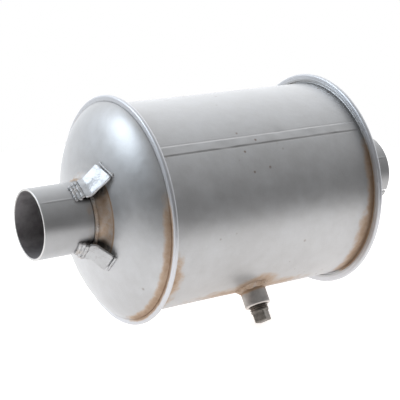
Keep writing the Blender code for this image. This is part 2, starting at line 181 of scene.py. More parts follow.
def sheet_loop(line, thickness):
    """The closed outline of a sheet whose middle line is given as (a, b) points."""
    points = [Vector(p) for p in line]
    left, right = [], []
    for i, point in enumerate(points):
        ahead = points[min(i + 1, len(points) - 1)] - points[i]
        behind = points[i] - points[max(i - 1, 0)]
        along = (ahead.normalized() + behind.normalized()).normalized()
        across = Vector((-along.y, along.x)) * thickness / 2
        left.append(tuple(point + across))
        right.append(tuple(point - across))
    return left + right[::-1]


def arc(a, b, radius, start, end, steps):
    """Points on an arc about (a, b), with angles in degrees from +a towards +b."""
    angles = [math.radians(start + (end - start) * i / steps) for i in range(steps + 1)]
    return [(a + radius * math.cos(t), b + radius * math.sin(t)) for t in angles]


def apply_modifiers(obj, sharp):
    """Keeps the mesh that the object's modifiers make."""
    bpy.context.view_layer.update()
    deps = bpy.context.evaluated_depsgraph_get()
    mesh = bpy.data.meshes.new_from_object(obj.evaluated_get(deps))
    obj.modifiers.clear()
    obj.data = mesh
    shade(obj, sharp)


def boolean_cut(obj, cutter):
    """Cuts, keeps the cut mesh and removes the cutter."""
    modifier = obj.modifiers.new("cut", "BOOLEAN")
    modifier.object = cutter
    modifier.solver = "EXACT"
    apply_modifiers(obj, 35)
    bpy.data.objects.remove(cutter)


def pins(name, matrices, radius, depth, sides):
    """A cutter of separate round pins, one at each matrix."""
    work = bmesh.new()
    for matrix in matrices:
        bmesh.ops.create_cone(work, cap_ends=True, segments=sides, radius1=radius, radius2=radius,
                              depth=depth, matrix=matrix)
    return mesh_object(name, work)


def smooth(value, low, high):
    """0 below low, 1 above high, smooth between."""
    t = min(max((value - low) / (high - low), 0), 1)
    return t * t * (3 - 2 * t)


# ---------------- material helpers


class Nodes:
    """Short calls for the nodes of a material or a world."""

    def __init__(self, owner, space):
        owner.use_nodes = True
        self.tree = owner.node_tree
        self.coordinates = self.node("ShaderNodeTexCoord", {}).outputs[space]

    def feed(self, socket, value):
        """Links a socket to another one, or sets its number, vector or colour."""
        if isinstance(value, bpy.types.NodeSocket):
            self.tree.links.new(value, socket)
        else:
            socket.default_value = (*value, 1.0) if socket.type == "RGBA" else value

    def node(self, kind, sockets, **settings):
        node = self.tree.nodes.new(kind)
        for key, value in settings.items():
            setattr(node, key, value)
        for key, value in sockets.items():
            self.feed(node.inputs[key], value)
        return node

    def math(self, operation, *values):
        return self.node("ShaderNodeMath", dict(enumerate(values)), operation=operation).outputs[0]

    def add(self, a, b):
        return self.math("ADD", a, b)

    def less(self, a, b):
        return self.math("SUBTRACT", a, b)

    def least(self, a, b):
        return self.math("MINIMUM", a, b)

    def apart(self, a, b):
        """The distance between two numbers."""
        return self.math("ABSOLUTE", self.less(a, b))

    def times(self, *values):
        result = values[0]
        for value in values[1:]:
            result = self.math("MULTIPLY", result, value)
        return result

    def most(self, *values):
        result = values[0]
        for value in values[1:]:
            result = self.math("MAXIMUM", result, value)
        return result

    def split(self, vector=None):
        node = self.node("ShaderNodeSeparateXYZ", {0: vector or self.coordinates})
        return node.outputs[0], node.outputs[1], node.outputs[2]

    def join(self, x, y, z):
        return self.node("ShaderNodeCombineXYZ", {0: x, 1: y, 2: z}).outputs[0]

    def step(self, value, low, high):
        """0 at low and 1 at high, smooth between, low may be the greater."""
        sockets = {"Value": value, "From Min": low, "From Max": high}
        return self.node("ShaderNodeMapRange", sockets, interpolation_type="SMOOTHSTEP").outputs[0]

    def noise(self, scale, detail=3.0, rough=0.55, vector=None):
        sockets = {"Vector": vector or self.coordinates, "Scale": scale, "Detail": detail, "Roughness": rough}
        return self.node("ShaderNodeTexNoise", sockets).outputs[0]

    def cells(self, scale, vector=None):
        sockets = {"Vector": vector or self.coordinates, "Scale": scale}
        return self.node("ShaderNodeTexVoronoi", sockets).outputs["Distance"]

    def mix(self, share, a, b):
        return self.node("ShaderNodeMix", {0: share, 6: a, 7: b}, data_type="RGBA").outputs[2]

    def blend(self, share, a, b):
        """A number between a and b."""
        return self.add(self.times(share, self.less(b, a)), a)


class Net(Nodes):
    """The nodes of a new material with a Principled shader."""

    def __init__(self, name):
        self.material = bpy.data.materials.new(name)
        super().__init__(self.material, "Object")
        self.shader = self.tree.nodes["Principled BSDF"]
        self.bumped = None

    def bump(self, height, distance):
        """Lays a height in metres on the surface, over any laid before."""
        sockets = {"Height": height, "Distance": distance, "Strength": 1.0}
        if self.bumped:
            sockets["Normal"] = self.bumped
        self.bumped = self.node("ShaderNodeBump", sockets).outputs[0]

    def finish(self, color, rough, metallic):
        for name, value in (("Base Color", color), ("Roughness", rough), ("Metallic", metallic)):
            self.feed(self.shader.inputs[name], value)
        if self.bumped:
            self.feed(self.shader.inputs["Normal"], self.bumped)
        return self.material

    def radius(self):
        """Distance from the muffler's axis."""
        y, z = self.split()[1:]
        down = self.less(AXIS_HEIGHT, z)
        return self.math("SQRT", self.add(self.times(y, y), self.times(down, down)))

    def clock(self):
        """The clock angle in turns, from -0.5 to 0.5."""
        y, z = self.split()[1:]
        turn = self.math("ARCTAN2", self.times(y, -1.0), self.less(AXIS_HEIGHT, z))
        return self.math("DIVIDE", turn, 2 * math.pi)

    def dot(self, a, b):
        x, y, z = (self.times(p, q) for p, q in zip(a, b))
        return self.add(self.add(x, y), z)

    def from_port(self):
        """The three coordinates measured from the middle of the boss's face."""
        return [self.less(part, value) for part, value in zip(self.split(), PORT_POINT)]


def clock_window(net, clock, start, end, soft):
    """1 between two clock angles in degrees, from -180 to 180, with soft ends in degrees."""
    start, end, soft = start / 360, end / 360, soft / 360
    return net.times(net.step(clock, start - soft, start + soft), net.step(clock, end + soft, end - soft))


# ---------------- materials

STAIN = (0.27, 0.155, 0.078)
STAIN_PALE = (0.50, 0.345, 0.22)
# near black, for painted shade in the gussets' hollows and on their under sides
SHADE_BLACK = (0.012, 0.010, 0.008)
SILVER = (0.535, 0.54, 0.55)
SILVER_DULL = (0.455, 0.455, 0.458)


def silver_base(net, peel=1.0):
    """Aluminium paint: drifting tone, fine flake and orange peel. Returns its colour and roughness."""
    drift = net.noise(14.0, detail=4, rough=0.6)
    mottle = net.noise(95.0, detail=3, rough=0.6)
    flake = net.noise(2600.0, detail=1)
    tone = net.add(net.times(drift, 0.55), net.times(mottle, 0.45))
    tone = net.step(tone, 0.30, 0.70)
    color = net.mix(tone, SILVER_DULL, SILVER)
    color = net.mix(net.times(net.step(flake, 0.55, 0.75), 0.16), color, (0.82, 0.83, 0.85))
    rough = net.blend(mottle, 0.34, 0.50)
    net.bump(net.times(net.noise(700.0, detail=2), peel), 0.00003)
    net.bump(net.times(net.noise(60.0, detail=2), peel), 0.00025)
    return color, rough


def stained(net, color, rough, amount):
    """Lays a brown heat and rust stain on a colour: pale at its edge, darker and rough at its heart."""
    speck = net.noise(420.0, detail=3, rough=0.7)
    cloud = net.noise(150.0, detail=6, rough=0.72)
    broken = net.add(amount, net.times(net.less(cloud, 0.5), 0.95))
    broken = net.times(broken, net.step(amount, 0.02, 0.22))
    edge = net.step(broken, 0.12, 0.60)
    heart = net.times(net.step(broken, 0.42, 0.95), net.blend(speck, 0.35, 1.0))
    color = net.mix(net.times(edge, 0.70), color, STAIN_PALE)
    color = net.mix(net.times(heart, 0.80), color, STAIN)
    rough = net.blend(edge, rough, 0.60)
    return color, rough


def scattered_rust(net, color, scale, amount, seed_shift):
    """Small rust dots scattered over the paint."""
    vector = net.node("ShaderNodeMapping", {"Vector": net.coordinates, "Location": (seed_shift, 0.13, 0.27)})
    vector = vector.outputs[0]
    where = net.step(net.noise(22.0, detail=2, vector=vector), 0.56, 0.66)
    spot = net.times(net.step(net.cells(scale, vector), 0.16, 0.07), where, amount)
    return net.mix(spot, color, (0.16, 0.095, 0.06))


def hollow_shade(net, color, clock, near):
    """Painted shade in the hollows under the facing edges of the two gussets beside the port."""
    first, second = (PORT_CLOCK + angle for angle in GUSSET_CLOCKS[:2])
    low = clock_window(net, clock, first, first + 16, 5)
    high = clock_window(net, clock, second - 16, second, 6)
    shade_amount = net.times(net.most(low, high), near, net.blend(net.noise(260.0, detail=4), 0.1, 1.7))
    return net.mix(net.least(net.most(shade_amount, 0.0), 0.92), color, SHADE_BLACK)


def run_streaks(net, x, clock, fine):
    """Noise drawn out round the casing, for stains that follow a seam."""
    drawn = net.join(net.times(x, fine), net.times(clock, 9.0), 0.0)
    return net.noise(1.0, detail=4, rough=0.6, vector=drawn)


def shell_paint():
    """Silver paint, stained beside both rims, along the underside and round the port."""
    net = Net("shell_silver_paint")
    x, clock = net.split()[0], net.clock()
    color, rough = silver_base(net)
    from_front = net.less(x, FRONT_X)
    from_rear = net.less(REAR_X, x)
    low_side = clock_window(net, clock, 40, 128, 14)
    back_side = clock_window(net, clock, -150, -20, 25)
    front_band = net.times(net.step(from_front, 0.021, 0.001), clock_window(net, clock, 34, 82, 12),
                           net.least(net.times(net.noise(85.0, detail=4), 2.0), 1.2))
    front_edge = net.times(net.step(from_front, 0.006, 0.001), clock_window(net, clock, 30, 130, 14))
    front_back = net.times(net.step(from_front, 0.010, 0.001), back_side, 0.6)
    rear_band = net.times(net.step(from_rear, 0.0190, 0.002), clock_window(net, clock, 36, 88, 12))
    rear_edge = net.times(net.step(from_rear, 0.0110, 0.001), net.most(low_side, net.times(back_side, 0.7)))
    ends = net.times(net.step(x, BODY_X - 0.090, BODY_X - 0.015), net.step(x, BODY_X + 0.080, BODY_X + 0.015))
    broken = net.times(net.noise(110.0, detail=4), net.noise(31.0, detail=2), 4.0)
    foot = net.times(clock_window(net, clock, 33, 45, 9), ends, net.least(broken, 0.85))
    offset = net.from_port()
    along = net.dot(offset, PORT_AXIS)
    beside = net.math("SQRT", net.most(net.less(net.dot(offset, offset), net.times(along, along)), 0.0))
    port_ring = net.times(net.step(beside, 0.030, 0.012), net.step(along, -0.03, -0.02), 0.75)
    amount = net.most(front_band, front_edge, front_back, rear_band, rear_edge, foot, port_ring)
    amount = net.times(amount, net.blend(run_streaks(net, x, clock, 60.0), 0.45, 1.25))
    color, rough = stained(net, color, rough, amount)
    color = scattered_rust(net, color, 110.0, 0.75, 0.31)
    color = scattered_rust(net, color, 48.0, 0.30, 0.59)
    # darker along both edges of the lock seam
    line = net.apart(net.apart(clock, SEAM_CLOCK / 360), SEAM_HALF / 360)
    seam_edge_dark = net.times(net.step(line, 0.0022, 0.0004), net.blend(net.noise(150.0), 0.1, 0.9))
    color = net.mix(net.times(seam_edge_dark, 0.25), color, (0.24, 0.21, 0.18))
    return net.finish(color, rough, 0.72)


def head_paint(name, plane, out):
    """Paint of a head, with a painted highlight on its rim's face and painted shade under the gussets; out is
    -1 for the front head and 1 for the rear one.
    """
    net = Net(name)
    x, radius, clock = net.split()[0], net.radius(), net.clock()
    rim_face = net.step(radius, 0.0792, 0.0800)
    color, rough = silver_base(net, net.blend(rim_face, 1.0, 0.1))
    # painted highlight: the rim's face is lightened towards a bluish white
    color = net.mix(net.times(rim_face, 0.35), color, (0.84, 0.86, 0.92))
    height = net.times(net.less(x, plane), float(out))
    streak = run_streaks(net, x, clock, 40.0)
    low_side = clock_window(net, clock, 20, 112, 16)
    far_side = clock_window(net, clock, -140, -30, 22)
    crease = net.times(net.step(radius, 0.0735, 0.0785), net.step(radius, 0.0822, 0.0795),
                       net.step(height, -0.0003, 0.0003), net.most(low_side, net.times(far_side, 0.6)))
    rim = net.times(net.step(radius, 0.0785, 0.0805), net.most(low_side, net.times(far_side, 0.5)), 0.15)
    between = clock_window(net, clock, PORT_CLOCK + 14, PORT_CLOCK + 108, 6)
    neck = net.times(net.step(radius, 0.0345, 0.0300), net.blend(net.noise(45.0), 0.05, 0.45))
    patches = net.blend(net.noise(90.0, detail=4), 0.05, 0.95)
    burnt = net.times(net.step(radius, 0.0378, 0.0360), between, patches)
    ring = net.times(net.step(radius, 0.0378, 0.0368), net.step(radius, 0.0345, 0.0362), between, 0.9)
    edges = net.times(net.most(crease, rim), net.blend(streak, 0.30, 1.40))
    color, rough = stained(net, color, rough, net.most(edges, neck, burnt, ring))
    # painted shade round the neck in the hollows under the two gussets beside the port
    color = hollow_shade(net, color, clock, net.step(radius, 0.0405, 0.0340))
    color = scattered_rust(net, color, 90.0, 0.6, 0.77)
    return net.finish(color, rough, 0.72)


def pipe_paint(name, inner_radius, end_x, stain_at):
    """Paint outside with painted shade in the gussets' hollows and along the neck weld's toe, sooty steel
    inside, bare bright metal on the cut end.
    """
    net = Net(name)
    x, radius, clock = net.split()[0], net.radius(), net.clock()
    color, rough = silver_base(net)
    color = net.mix(0.30, color, (0.22, 0.22, 0.225))
    from_head = net.apart(x, stain_at)
    near_head = net.step(from_head, 0.012, 0.002)
    amount = net.times(near_head, net.blend(net.noise(70.0), 0.05, 0.40))
    color, rough = stained(net, color, rough, amount)
    # painted shade on the pipe in the hollows under the two gussets beside the port
    color = hollow_shade(net, color, clock, net.step(from_head, 0.0075, 0.0045))
    # painted shade: a dark line round the pipe along the toe of the neck weld
    toe_shade = net.times(net.step(from_head, TOE_SHADE_HALF + 0.0007, TOE_SHADE_HALF), 0.75)
    color = net.mix(toe_shade, color, (0.09, 0.07, 0.055))
    inside = net.step(radius, inner_radius + 0.0007, inner_radius + 0.0002)
    grime = net.noise(60.0, detail=5, rough=0.65)
    lining = net.mix(net.step(grime, 0.35, 0.70), (0.26, 0.245, 0.25), (0.46, 0.44, 0.45))
    color = net.mix(inside, color, lining)
    rough = net.blend(inside, rough, 0.62)
    cut = net.times(net.step(net.apart(x, end_x), 0.0005, 0.0001), net.blend(net.noise(200.0), 0.6, 1.0))
    color = net.mix(cut, color, (0.70, 0.69, 0.67))
    return net.finish(color, rough, 0.68)


def gusset_paint(name, bright):
    """Paint on the upper face, lightened by a painted highlight as much as bright says; painted shade flecked
    with dark rust on the under side and the edges.
    """
    net = Net(name)
    color, rough = silver_base(net)
    # painted highlight: the paint is lightened towards a bluish white as much as bright says
    color = net.mix(bright, color, (0.90, 0.93, 0.97))
    speck = net.noise(260.0, detail=4, rough=0.7)
    color = net.mix(net.times(net.step(speck, 0.54, 0.66), 0.45), color, (0.30, 0.275, 0.26))
    nx, ny, nz = net.split(net.node("ShaderNodeNewGeometry", {}).outputs["Normal"])
    y, z = net.split()[1:]
    outward = net.add(net.times(ny, y), net.times(nz, net.less(z, AXIS_HEIGHT)))
    outward = net.less(net.math("DIVIDE", outward, net.radius()), net.times(nx, 0.75))
    # painted shade: faces turned in towards the pipe and head go near black, mottled with dark rust
    under = net.step(outward, 0.10, -0.35)
    color = net.mix(under, color, net.mix(speck, SHADE_BLACK, (0.075, 0.045, 0.028)))
    rough = net.blend(under, rough, 0.80)
    net.bump(net.noise(150.0, detail=3, rough=0.6), 0.0008)
    return net.finish(color, rough, 0.35)


def weld_paint(name, share):
    """A painted bead that rust has broken through; share is how much of it is rusty."""
    net = Net(name)
    color, rough = silver_base(net)
    amount = net.blend(net.noise(130.0, detail=4), share - 0.35, share + 0.45)
    color, rough = stained(net, color, rough, amount)
    pits = net.times(net.step(net.noise(500.0, detail=3), 0.58, 0.70), 0.6)
    color = net.mix(pits, color, (0.10, 0.075, 0.055))
    net.bump(net.noise(380.0, detail=3, rough=0.7), 0.0007)
    return net.finish(color, rough, 0.5)


def boss_steel():
    """Turned steel with thin paint: darker than the shell, brown at its foot."""
    net = Net("boss_steel")
    along = net.dot(net.from_port(), PORT_AXIS)
    rings = net.noise(1.0, detail=3, vector=net.join(net.times(along, 1800.0), 0.3, 0.7))
    mottle = net.noise(160.0, detail=4, rough=0.6)
    color = net.mix(net.step(mottle, 0.3, 0.7), (0.30, 0.285, 0.275), (0.44, 0.42, 0.405))
    color = net.mix(net.times(rings, 0.22), color, (0.58, 0.56, 0.54))
    lip = net.step(along, -0.0012, -0.0004)
    color = net.mix(net.times(lip, 0.9), color, (0.80, 0.76, 0.73))
    foot = net.times(net.step(along, -0.0085, -0.0125), net.blend(mottle, 0.5, 1.2))
    rough = net.blend(mottle, 0.34, 0.50)
    color, rough = stained(net, color, rough, foot)
    net.bump(rings, 0.00008)
    return net.finish(color, rough, 0.78)


def plug_steel():
    """Oily black-grey steel with paler flecks, brown in the thread."""
    net = Net("plug_steel")
    mottle = net.noise(220.0, detail=4, rough=0.6)
    fine = net.noise(900.0, detail=2)
    color = net.mix(net.step(mottle, 0.3, 0.7), (0.16, 0.145, 0.13), (0.30, 0.28, 0.255))
    color = net.mix(net.times(net.step(fine, 0.6, 0.75), 0.4), color, (0.45, 0.43, 0.40))
    along = net.dot(net.from_port(), PORT_AXIS)
    thread = net.step(along, 0.0040, 0.0032)
    color = net.mix(net.times(thread, 0.45), color, (0.15, 0.115, 0.095))
    rough = net.blend(mottle, 0.36, 0.52)
    net.bump(fine, 0.00005)
    return net.finish(color, rough, 0.8)


def bare_steel():
    """Aluminised sheet inside the casing, dulled by soot."""
    net = Net("aluminised_steel")
    grime = net.noise(35.0, detail=5, rough=0.65)
    spangle = net.cells(300.0)
    color = net.mix(net.step(grime, 0.35, 0.7), (0.20, 0.19, 0.165), (0.42, 0.41, 0.39))
    color = net.mix(net.times(net.step(spangle, 0.2, 0.6), 0.18), color, (0.10, 0.095, 0.08))
    net.bump(spangle, 0.00005)
    return net.finish(color, net.blend(grime, 0.45, 0.65), 0.7)


def compound():
    """Dark sealing compound with a slight grain."""
    net = Net("sealing_compound")
    grain = net.noise(800.0, detail=3)
    net.bump(grain, 0.0001)
    color = net.mix(grain, (0.05, 0.045, 0.04), (0.12, 0.11, 0.10))
    return net.finish(color, net.blend(grain, 0.5, 0.75), 0.0)


# ---------------- pieces


def paint(obj, material):
    """Makes a material an object's only one."""
    obj.data.materials.clear()
    obj.data.materials.append(material)


def finish_piece(obj, material, slot, body, *nodes):
    """Paints a piece and puts it in the place of CAD nodes."""
    paint(obj, material)
    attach(obj, body)
    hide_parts(*nodes)


def shell_clocks():
    """Clock angles round the shell, closer together at the edges of the lock seam."""
    clocks = set(360 * i / 288 for i in range(288))
    for edge in (-SEAM_HALF, SEAM_HALF):
        for i in range(-6, 7):
            clocks.add((SEAM_CLOCK + edge + i * 0.14) % 360)
    return sorted(clocks)


def seam_rise(clock):
    """Height of the folded lock seam over the shell, rounded at both edges."""
    off = abs(clock_gap(clock, SEAM_CLOCK))
    groove = 0.00005 * math.exp(-((off - SEAM_HALF - 0.45) / 0.35) ** 2)
    return SEAM_HEIGHT * (1 - smooth(off, SEAM_HALF - 0.75, SEAM_HALF + 0.35)) - groove


# Each dent's place along the muffler, clock angle, size and depth
DENTS = ((0.020, 141.0, 0.004, 0.0004), (-0.046, 118.0, 0.006, 0.0003), (0.060, 232.0, 0.009, 0.0006))


def shell_shift(x, radius, clock):
    """The lock seam, the gentle waves of rolled sheet and the small dents."""
    wall = smooth(0.0785 - radius, 0.0, 0.0015)
    inward = smooth(x, FRONT_X + 0.004, FRONT_X + 0.006) * smooth(REAR_X - x, 0.004, 0.006)
    ends = smooth(x, FRONT_X + 0.0018, FRONT_X + 0.0026) * smooth(REAR_X - x, 0.0018, 0.0026)
    seam = seam_rise(clock) * ends * (0.95 + 0.8 * noise.noise(Vector((x * 90.0, clock * 0.2, 4.0))))
    wave = round_noise(math.radians(clock), 1.6, x * 14.0) * 0.00022
    dents = 0.0
    for dent_x, dent_clock, size, depth in DENTS:
        across = math.radians(clock_gap(clock, dent_clock)) * SHELL_RADIUS
        dents -= depth * math.exp(-(across * across + (x - dent_x) ** 2) / (size * size))
    return 0.0, wall * (seam + (wave + dents) * inward)


def make_shell(material):
    """The rolled sheet with a flange at each end and the port's hole."""
    middle = SHELL_RADIUS - SHELL_SHEET / 2
    bend = 0.0013
    tip = RIM_RADIUS - HEAD_SHEET - 0.0010
    front = arc(FRONT_X + bend, middle + bend, bend, 180, 270, 5)
    rear = [(2 * BODY_X - x, r) for x, r in reversed(front)]
    wall = [(FRONT_X + bend + (REAR_X - FRONT_X - 2 * bend) * i / 72, middle) for i in range(1, 72)]
    line = [(FRONT_X, tip), *front, *wall, *rear, (REAR_X, tip)]
    shell = turned("shell_fine", sheet_loop(line, SHELL_SHEET), shell_clocks(), shell_shift)
    hole = facing(PORT_POINT - PORT_AXIS * BOSS_HEIGHT, PORT_AXIS)
    boolean_cut(shell, pins("port_hole", [hole], BOSS_BORE, 0.02, 48))
    finish_piece(shell, material, "silver_paint", "muffler", "shell")


DOME_HEIGHT = 0.0251
DOME_RADIUS = 0.0794
DOME_SPREAD = 2.33
DOME_CROWN = 1.515
NECK_FLARE = 0.0100
NECK_RISE = 0.0060


def dome_height(radius):
    """Height of a dome's outer face over its rim's middle plane."""
    return DOME_HEIGHT * (1 - (radius / DOME_RADIUS) ** DOME_SPREAD) ** (1 / DOME_CROWN)


def head_line(pipe_radius):
    """Middle line of a head as (height, radius): neck, flare, dome, flange and folded edge."""
    half = HEAD_SHEET / 2
    neck = pipe_radius + PIPE_GAP + half
    crown = neck + NECK_FLARE
    top = dome_height(crown) - half + NECK_RISE
    sweep = arc(0, 0, 1, 270, 180, 14)
    points = [(top + 0.0004, neck), *[(top + NECK_RISE * h, crown + NECK_FLARE * r) for h, r in sweep]]
    count = 40
    last = DOME_RADIUS - 0.00105
    for i in range(1, count):
        radius = crown + (last - crown) * math.sin(math.pi / 2 * i / count)
        points.append((dome_height(radius) - half, radius))
    points = [p for p in points if not (p[1] > 0.0775 and p[0] < HEM_RADIUS + 0.0003)]
    fold = HEM_RADIUS - half
    points += [(fold + 0.00010, last + 0.0001), (fold, last + 0.0005), (fold, last + 0.0012)]
    centre = RIM_RADIUS - HEM_RADIUS
    points += arc(0, centre, fold, 0, 180, 12)
    points += [(-fold, centre - HEM_DEPTH * 0.5), (-fold, centre - HEM_DEPTH)]
    return points


def head_shift(_, radius, clock):
    """Slight spinning waves on the dome, and a rim that isn't quite even."""
    turn = math.radians(clock)
    dome = smooth(radius, 0.036, 0.050) * smooth(0.0770 - radius, 0.0, 0.010)
    wave = round_noise(turn, 1.3, radius * 45.0) * 0.00030
    flange = smooth(radius, 0.0790, 0.0800) * round_noise(turn, 5, 3.0)
    return wave * dome, -abs(flange) * 0.00018


def make_head(node, plane, out, pipe_radius, material):
    """A pressed dome with its neck and folded edge; out is -1 at the front and 1 at the rear."""
    loop = [(plane + out * h, r) for h, r in sheet_loop(head_line(pipe_radius), HEAD_SHEET)]
    head = turned(f"{node}_fine", loop, even_clocks(240), head_shift)
    finish_piece(head, material, "silver_paint", "muffler", node)


def seam_ridge(clock, seam, radius, height):
    """A pipe's drawn-over weld seam: a low narrow ridge along it."""
    across = math.radians(clock_gap(clock, seam)) * radius
    return height * math.exp(-((across / 0.0007) ** 2))


def make_pipe(name, radius, wall, ends, seam):
    """A pipe from its open end to its inner end, with the holes between head and baffle."""
    outer_end, inner_end = ends
    way = 1 if inner_end > outer_end else -1
    chamfer = 0.00025
    count = 44
    inner = radius - wall
    line = [(outer_end + way * chamfer, radius)]
    line += [(outer_end + way * (0.002 + (abs(inner_end - outer_end) - 0.003) * i / count), radius)
             for i in range(count + 1)]
    back = [(x, inner) for x, r in reversed(line[1:])]
    loop = [*line, (inner_end, radius - chamfer), (inner_end, inner + chamfer), *back]
    loop += [(outer_end + way * chamfer, inner), (outer_end, inner + chamfer), (outer_end, radius - chamfer)]

    def shift(x, r, clock):
        near_end = smooth(abs(x - outer_end), 0.0, 0.004)
        wave = round_noise(math.radians(clock), 2, x * 30) * 0.00008
        ridge = seam_ridge(clock, seam, radius, 0.00022)
        return 0.0, (ridge * near_end if r > radius - 0.0006 else -ridge * 0.6) + wave * near_end - 0.00008

    clocks = sorted(set(even_clocks(160)) | {(seam + i * 0.45) % 360 for i in range(-7, 8)})
    pipe = turned(name, loop, clocks, shift)
    plane = FRONT_X if outer_end < inner_end else REAR_X
    matrices = []
    for row in range(HOLE_ROWS):
        for column in range(HOLE_COLUMNS):
            clock = PORT_CLOCK + 360 / HOLE_COLUMNS * (column + (row % 2) / 2)
            x = plane + way * (FIRST_HOLE + row * HOLE_PITCH)
            centre = place(x, radius, clock)
            matrices.append(facing(centre, (centre - place(x, 0, clock)).normalized()))
    boolean_cut(pipe, pins(name + "_holes", matrices, HOLE_RADIUS, 0.008, 24))
    return pipe


def make_pipes():
    """The inlet pipe, and the outlet pipe with two slots across its end."""
    inlet = make_pipe("inlet_pipe_fine", INLET_RADIUS, INLET_WALL, (INLET_LOW.x, INLET_HIGH.x), INLET_SEAM)
    coat = pipe_paint("inlet_pipe_paint", INLET_RADIUS - INLET_WALL, INLET_LOW.x, FRONT_X - PIPE_STAIN)
    finish_piece(inlet, coat, "pipe_paint", "muffler", "inlet_pipe")

    ends = (OUTLET_HIGH.x, OUTLET_LOW.x)
    outlet = make_pipe("outlet_pipe_fine", OUTLET_RADIUS, OUTLET_WALL, ends, OUTLET_SEAM)
    work = bmesh.new()
    bmesh.ops.create_cube(work, size=1.0)
    size = (SLOT_LENGTH + SLOT_OVERRUN, 4 * OUTLET_RADIUS, SLOT_WIDTH)
    bmesh.ops.scale(work, vec=size, verts=work.verts)
    slots = mesh_object("slots", work)
    middle = OUTLET_HIGH.x - (SLOT_LENGTH - SLOT_OVERRUN) / 2
    slots.matrix_world = (Matrix.Translation((middle, 0, AXIS_HEIGHT))
                          @ Matrix.Rotation(math.radians(90 - SLOT_CLOCK), 4, "X"))
    boolean_cut(outlet, slots)
    coat = pipe_paint("outlet_pipe_paint", OUTLET_RADIUS - OUTLET_WALL, OUTLET_HIGH.x, REAR_X + PIPE_STAIN)
    finish_piece(outlet, coat, "pipe_paint", "muffler", "outlet_pipe")


def make_neck_weld(node, pipe_radius, plane, out, material):
    """The rippled bead round a pipe where it leaves the head's neck."""
    low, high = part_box(node)
    start = out * ((low.x if out > 0 else high.x) - plane)
    inner = pipe_radius + PIPE_GAP * 0.4
    section = [(0.0000, 0.0001), (-0.0006, 0.0010), (-0.0003, 0.0017), (0.0005, 0.0019),
               (0.0013, 0.0014), (0.0018, 0.0007), (0.0020, 0.0000)]
    loop = [(plane + out * (start + h), inner + r) for h, r in section]
    middle = plane + out * (start + 0.0006)

    def shift(x, radius, clock):
        ripple = (clock / 360 * 62 + 0.8 * noise.noise(Vector((clock * 0.09, 1.0, 2.0)))) % 1.0
        swell = 0.80 + 0.10 * (ripple ** 0.7) + 0.35 * noise.noise(Vector((clock * 0.06, 5.0, 7.0)))
        return (x - middle) * (swell - 1) * 0.5, (radius - inner) * (swell - 1)

    weld = turned(f"{node}_fine", loop, even_clocks(592), shift, sharp=60)
    finish_piece(weld, material, "weld_metal", "muffler", node)


# ---------------- gussets

GUSSET_FOOT_RADII = (0.0410, 0.0442, 0.0426)
GUSSET_TWISTS = (0.0004, 0.0021, 0.0)  # how much farther out a foot's near corner stands
GUSSET_SHEET = 0.0019
GUSSET_WIDTH = 0.0163
GUSSET_FOOT_WIDTH = 0.0184
GUSSET_END = Vector((0.0293, 0.0358))  # radius, and height over the front rim's middle plane
GUSSET_BEND = Vector((0.0305, 0.0312))
GUSSET_CORNER = 0.0014
# Height over the rim's plane, height over the pipe and half the angle of each run of the beads on the pipe
PIPE_BEAD_RUNS = ((0.03705, 0.0034, 15.5), (0.03880, 0.0021, 17.0), (0.04065, 0.0008, 16.0))


def gusset_point(clock, radius, across, height):
    """A point over the front head, by radius along a clock angle, distance across it and height."""
    turn = math.radians(clock)
    outwards = Vector((0, -math.sin(turn), -math.cos(turn)))
    sideways = Vector((0, -math.cos(turn), math.sin(turn)))
    return Vector((FRONT_X - height, 0, AXIS_HEIGHT)) + outwards * radius + sideways * across


def gusset_line(foot):
    """Middle line of the strap as (radius, height), with a rounded bend."""
    top = dome_height(foot) + PIPE_GAP + GUSSET_SHEET * 0.6
    knots = [GUSSET_END, GUSSET_BEND, Vector((foot, top))]
    line = [knots[0] + (knots[1] - knots[0]) * i / 8 for i in range(7)]
    start, end = line[-1], knots[1] + (knots[2] - knots[1]) * 0.16
    for i in range(1, 7):
        t = i / 6
        line.append(start * (1 - t) ** 2 + knots[1] * 2 * t * (1 - t) + end * t * t)
    line += [end + (knots[2] - end) * i / 12 for i in range(1, 13)]
    return line


